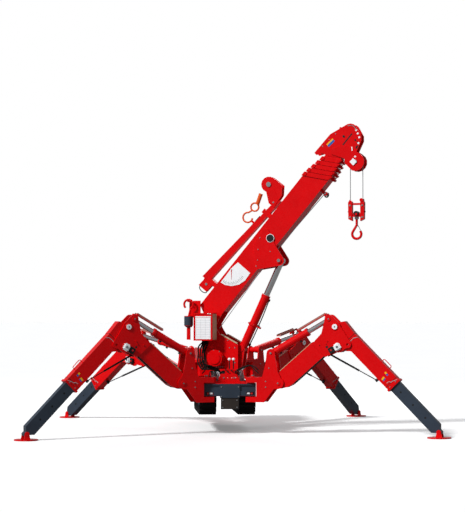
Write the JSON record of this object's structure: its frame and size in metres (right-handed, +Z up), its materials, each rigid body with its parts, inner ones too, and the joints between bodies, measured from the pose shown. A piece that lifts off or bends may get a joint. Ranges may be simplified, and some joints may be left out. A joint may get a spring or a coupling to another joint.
{
  "type": "spider crane",
  "caption": "Compact crawler crane on folding outrigger legs with round pads, a slewing column, a telescopic boom, lift cylinder and hook block.",
  "frame": {"origin": "on the ground, in the middle of the rectangle around the four outrigger pads", "axes": "+Z up, +X to the machine's own right side as seen from the front bumper end, -Y towards the front bumper"},
  "size_m": [4.4224, 3.947, 3.2943],
  "materials": {
    "black": "matte",
    "chrome": "polished",
    "orange": "gloss",
    "red": "gloss",
    "rubber": "matte",
    "slate": "satin",
    "steel": "satin",
    "white": "satin"
  },
  "bodies": {
    "chassis": {"chassis_frame": "red", "control_levers": "red", "engine_block": "black", "engine_hood": "red", "front_bumper": "slate", "left_track": "rubber", "left_track_frame": "slate", "right_track": "rubber", "right_track_frame": "slate", "slew_ring": "black", "valve_cover": "red"},
    "superstructure": {"ball_hook": "red", "column": "red", "hoist_winch": "red", "load_chart_box": "red"},
    "boom": {"angle_dial": "white", "boom_base_section": "red", "jib_hook": "orange", "searcher_jib": "red"},
    "boom_section_2": {"boom_section_2": "red"},
    "boom_section_3": {"boom_section_3": "red"},
    "boom_section_4": {"boom_section_4": "red"},
    "boom_section_5": {"boom_head": "red", "boom_section_5": "red", "head_sheave": "black"},
    "lift_barrel": {"lift_cylinder_barrel": "red"},
    "lift_rod": {"lift_cylinder_rod": "chrome"},
    "hook_gear": {"hoist_rope": "steel", "hook_block": "red", "load_hook": "red"},
    "front_left_bracket": {"front_left_swing_bracket": "red"},
    "front_left_arm": {"front_left_upper_arm": "red"},
    "front_left_shin": {"front_left_lower_arm": "red"},
    "front_left_foot": {"front_left_inner_leg": "slate", "front_left_pad": "red"},
    "front_left_ram": {"front_left_ram_barrel": "red"},
    "front_left_ram_rod": {"front_left_ram_rod": "chrome"},
    "front_right_bracket": {"front_right_swing_bracket": "red"},
    "front_right_arm": {"front_right_upper_arm": "red"},
    "front_right_shin": {"front_right_lower_arm": "red"},
    "front_right_foot": {"front_right_inner_leg": "slate", "front_right_pad": "red"},
    "front_right_ram": {"front_right_ram_barrel": "red"},
    "front_right_ram_rod": {"front_right_ram_rod": "chrome"},
    "rear_left_bracket": {"rear_left_swing_bracket": "red"},
    "rear_left_arm": {"rear_left_upper_arm": "red"},
    "rear_left_shin": {"rear_left_lower_arm": "red"},
    "rear_left_foot": {"rear_left_inner_leg": "slate", "rear_left_pad": "red"},
    "rear_left_ram": {"rear_left_ram_barrel": "red"},
    "rear_left_ram_rod": {"rear_left_ram_rod": "chrome"},
    "rear_right_bracket": {"rear_right_swing_bracket": "red"},
    "rear_right_arm": {"rear_right_upper_arm": "red"},
    "rear_right_shin": {"rear_right_lower_arm": "red"},
    "rear_right_foot": {"rear_right_inner_leg": "slate", "rear_right_pad": "red"},
    "rear_right_ram": {"rear_right_ram_barrel": "red"},
    "rear_right_ram_rod": {"rear_right_ram_rod": "chrome"}
  },
  "joints": [
    {"name": "slew", "type": "hinge", "parent": "chassis", "child": "superstructure", "pos_m": [0, -0.5, 0.645], "axis": [0, 0, 1], "continuous": true},
    {"name": "luff", "type": "hinge", "parent": "superstructure", "child": "boom", "pos_m": [-0.12331, -0.45018, 1.169], "axis": [-0.3746, -0.9272, 0], "range_deg": [-50, 25]},
    {"name": "telescope_2", "type": "slide", "parent": "boom", "child": "boom_section_2", "axis": [0.596, -0.2408, 0.766], "range_m": [0, 1.5]},
    {"name": "telescope_3", "type": "slide", "parent": "boom_section_2", "child": "boom_section_3", "axis": [0.596, -0.2408, 0.766], "range_m": [0, 1.5]},
    {"name": "telescope_4", "type": "slide", "parent": "boom_section_3", "child": "boom_section_4", "axis": [0.596, -0.2408, 0.766], "range_m": [0, 1.5]},
    {"name": "telescope_5", "type": "slide", "parent": "boom_section_4", "child": "boom_section_5", "axis": [0.596, -0.2408, 0.766], "range_m": [0, 1.5]},
    {"name": "lift_cylinder_swing", "type": "hinge", "parent": "superstructure", "child": "lift_barrel", "pos_m": [0.17616, -0.57117, 0.885], "axis": [-0.3746, -0.9272, 0], "range_deg": [-47.76, 23.89]},
    {"name": "lift_cylinder_stroke", "type": "slide", "parent": "lift_barrel", "child": "lift_rod", "axis": [0.3924, -0.1585, 0.906], "range_m": [-0.36497, 0.18259]},
    {"name": "hook_swing", "type": "hinge", "parent": "boom_section_5", "child": "hook_gear", "pos_m": [1.36305, -1.05071, 2.88503], "axis": [-0.3746, -0.9272, 0], "range_deg": [-25.01, 50.01]},
    {"name": "front_left_swing", "type": "hinge", "parent": "chassis", "child": "front_left_bracket", "pos_m": [-0.245, -1.12, 0.47], "axis": [0, 0, -1], "range_deg": [-28.36, 36.64]},
    {"name": "front_left_lift", "type": "hinge", "parent": "front_left_bracket", "child": "front_left_arm", "pos_m": [-0.522, -1.2299, 0.543], "axis": [0.3688, -0.9295, 0], "range_deg": [-20.03, 13.97]},
    {"name": "front_left_knee", "type": "hinge", "parent": "front_left_arm", "child": "front_left_shin", "pos_m": [-1.09116, -1.45571, 1.13369], "axis": [-0.3688, 0.9295, 0], "range_deg": [-42.59, 26.01]},
    {"name": "front_left_extend", "type": "slide", "parent": "front_left_shin", "child": "front_left_foot", "axis": [-0.6522, -0.2588, -0.7125], "range_m": [-0.5, 0.05]},
    {"name": "front_left_ram_swing", "type": "hinge", "parent": "front_left_bracket", "child": "front_left_ram", "pos_m": [-0.44949, -1.20113, 0.856], "axis": [0.3688, -0.9295, 0], "range_deg": [-22.04, 15.38]},
    {"name": "front_left_ram_stroke", "type": "slide", "parent": "front_left_ram", "child": "front_left_ram_rod", "axis": [-0.8057, -0.3196, 0.4987], "range_m": [-0.10508, 0.07335]},
    {"name": "front_right_swing", "type": "hinge", "parent": "chassis", "child": "front_right_bracket", "pos_m": [0.245, -1.12, 0.47], "axis": [0, 0, 1], "range_deg": [-28.36, 36.64]},
    {"name": "front_right_lift", "type": "hinge", "parent": "front_right_bracket", "child": "front_right_arm", "pos_m": [0.522, -1.2299, 0.543], "axis": [0.3688, 0.9295, 0], "range_deg": [-20.03, 13.97]},
    {"name": "front_right_knee", "type": "hinge", "parent": "front_right_arm", "child": "front_right_shin", "pos_m": [1.09116, -1.45571, 1.13369], "axis": [-0.3688, -0.9295, 0], "range_deg": [-42.59, 26.01]},
    {"name": "front_right_extend", "type": "slide", "parent": "front_right_shin", "child": "front_right_foot", "axis": [0.6522, -0.2588, -0.7125], "range_m": [-0.5, 0.05]},
    {"name": "front_right_ram_swing", "type": "hinge", "parent": "front_right_bracket", "child": "front_right_ram", "pos_m": [0.44949, -1.20113, 0.856], "axis": [0.3688, 0.9295, 0], "range_deg": [-22.04, 15.38]},
    {"name": "front_right_ram_stroke", "type": "slide", "parent": "front_right_ram", "child": "front_right_ram_rod", "axis": [0.8057, -0.3196, 0.4987], "range_m": [-0.10508, 0.07335]},
    {"name": "rear_left_swing", "type": "hinge", "parent": "chassis", "child": "rear_left_bracket", "pos_m": [-0.245, 0.16, 0.642], "axis": [0, 0, -1], "range_deg": [-38.14, 11.86]},
    {"name": "rear_left_lift", "type": "hinge", "parent": "rear_left_bracket", "child": "rear_left_arm", "pos_m": [-0.44386, 0.38194, 0.543], "axis": [-0.7448, -0.6673, 0], "range_deg": [-37.3, 4.7]},
    {"name": "rear_left_knee", "type": "hinge", "parent": "rear_left_arm", "child": "rear_left_shin", "pos_m": [-0.95107, 0.94804, 0.92528], "axis": [0.7448, 0.6673, 0], "range_deg": [-68.73, 4]},
    {"name": "rear_left_extend", "type": "slide", "parent": "rear_left_shin", "child": "rear_left_foot", "axis": [-0.5359, 0.5982, -0.5958], "range_m": [-0.47, 0.04]},
    {"name": "rear_left_ram_swing", "type": "hinge", "parent": "rear_left_bracket", "child": "rear_left_ram", "pos_m": [-0.39181, 0.32385, 0.856], "axis": [-0.7448, -0.6673, 0], "range_deg": [-41.04, 5.18]},
    {"name": "rear_left_ram_stroke", "type": "slide", "parent": "rear_left_ram", "child": "rear_left_ram_rod", "axis": [-0.6532, 0.7291, 0.2042], "range_m": [-0.1955, 0.02481]},
    {"name": "rear_right_swing", "type": "hinge", "parent": "chassis", "child": "rear_right_bracket", "pos_m": [0.245, 0.16, 0.642], "axis": [0, 0, 1], "range_deg": [-38.14, 11.86]},
    {"name": "rear_right_lift", "type": "hinge", "parent": "rear_right_bracket", "child": "rear_right_arm", "pos_m": [0.44386, 0.38194, 0.543], "axis": [-0.7448, 0.6673, 0], "range_deg": [-37.3, 4.7]},
    {"name": "rear_right_knee", "type": "hinge", "parent": "rear_right_arm", "child": "rear_right_shin", "pos_m": [0.95107, 0.94804, 0.92528], "axis": [0.7448, -0.6673, 0], "range_deg": [-68.73, 4]},
    {"name": "rear_right_extend", "type": "slide", "parent": "rear_right_shin", "child": "rear_right_foot", "axis": [0.5359, 0.5982, -0.5958], "range_m": [-0.47, 0.04]},
    {"name": "rear_right_ram_swing", "type": "hinge", "parent": "rear_right_bracket", "child": "rear_right_ram", "pos_m": [0.39181, 0.32385, 0.856], "axis": [-0.7448, 0.6673, 0], "range_deg": [-41.04, 5.18]},
    {"name": "rear_right_ram_stroke", "type": "slide", "parent": "rear_right_ram", "child": "rear_right_ram_rod", "axis": [0.6532, 0.7291, 0.2042], "range_m": [-0.1955, 0.02481]}
  ],
  "couplings": [
    {"joint": "telescope_3", "follows": "telescope_2", "ratio": 1},
    {"joint": "telescope_4", "follows": "telescope_2", "ratio": 1},
    {"joint": "telescope_5", "follows": "telescope_2", "ratio": 1},
    {"joint": "lift_cylinder_swing", "follows": "luff", "ratio": 0.955},
    {"joint": "lift_cylinder_stroke", "follows": "luff", "m_per_rad": 0.418},
    {"joint": "hook_swing", "follows": "luff", "ratio": -1},
    {"joint": "front_left_ram_swing", "follows": "front_left_lift", "ratio": 1.1},
    {"joint": "front_left_ram_stroke", "follows": "front_left_lift", "m_per_rad": 0.3},
    {"joint": "front_right_ram_swing", "follows": "front_right_lift", "ratio": 1.1},
    {"joint": "front_right_ram_stroke", "follows": "front_right_lift", "m_per_rad": 0.3},
    {"joint": "rear_left_ram_swing", "follows": "rear_left_lift", "ratio": 1.1},
    {"joint": "rear_left_ram_stroke", "follows": "rear_left_lift", "m_per_rad": 0.3},
    {"joint": "rear_right_ram_swing", "follows": "rear_right_lift", "ratio": 1.1},
    {"joint": "rear_right_ram_stroke", "follows": "rear_right_lift", "m_per_rad": 0.3}
  ]
}
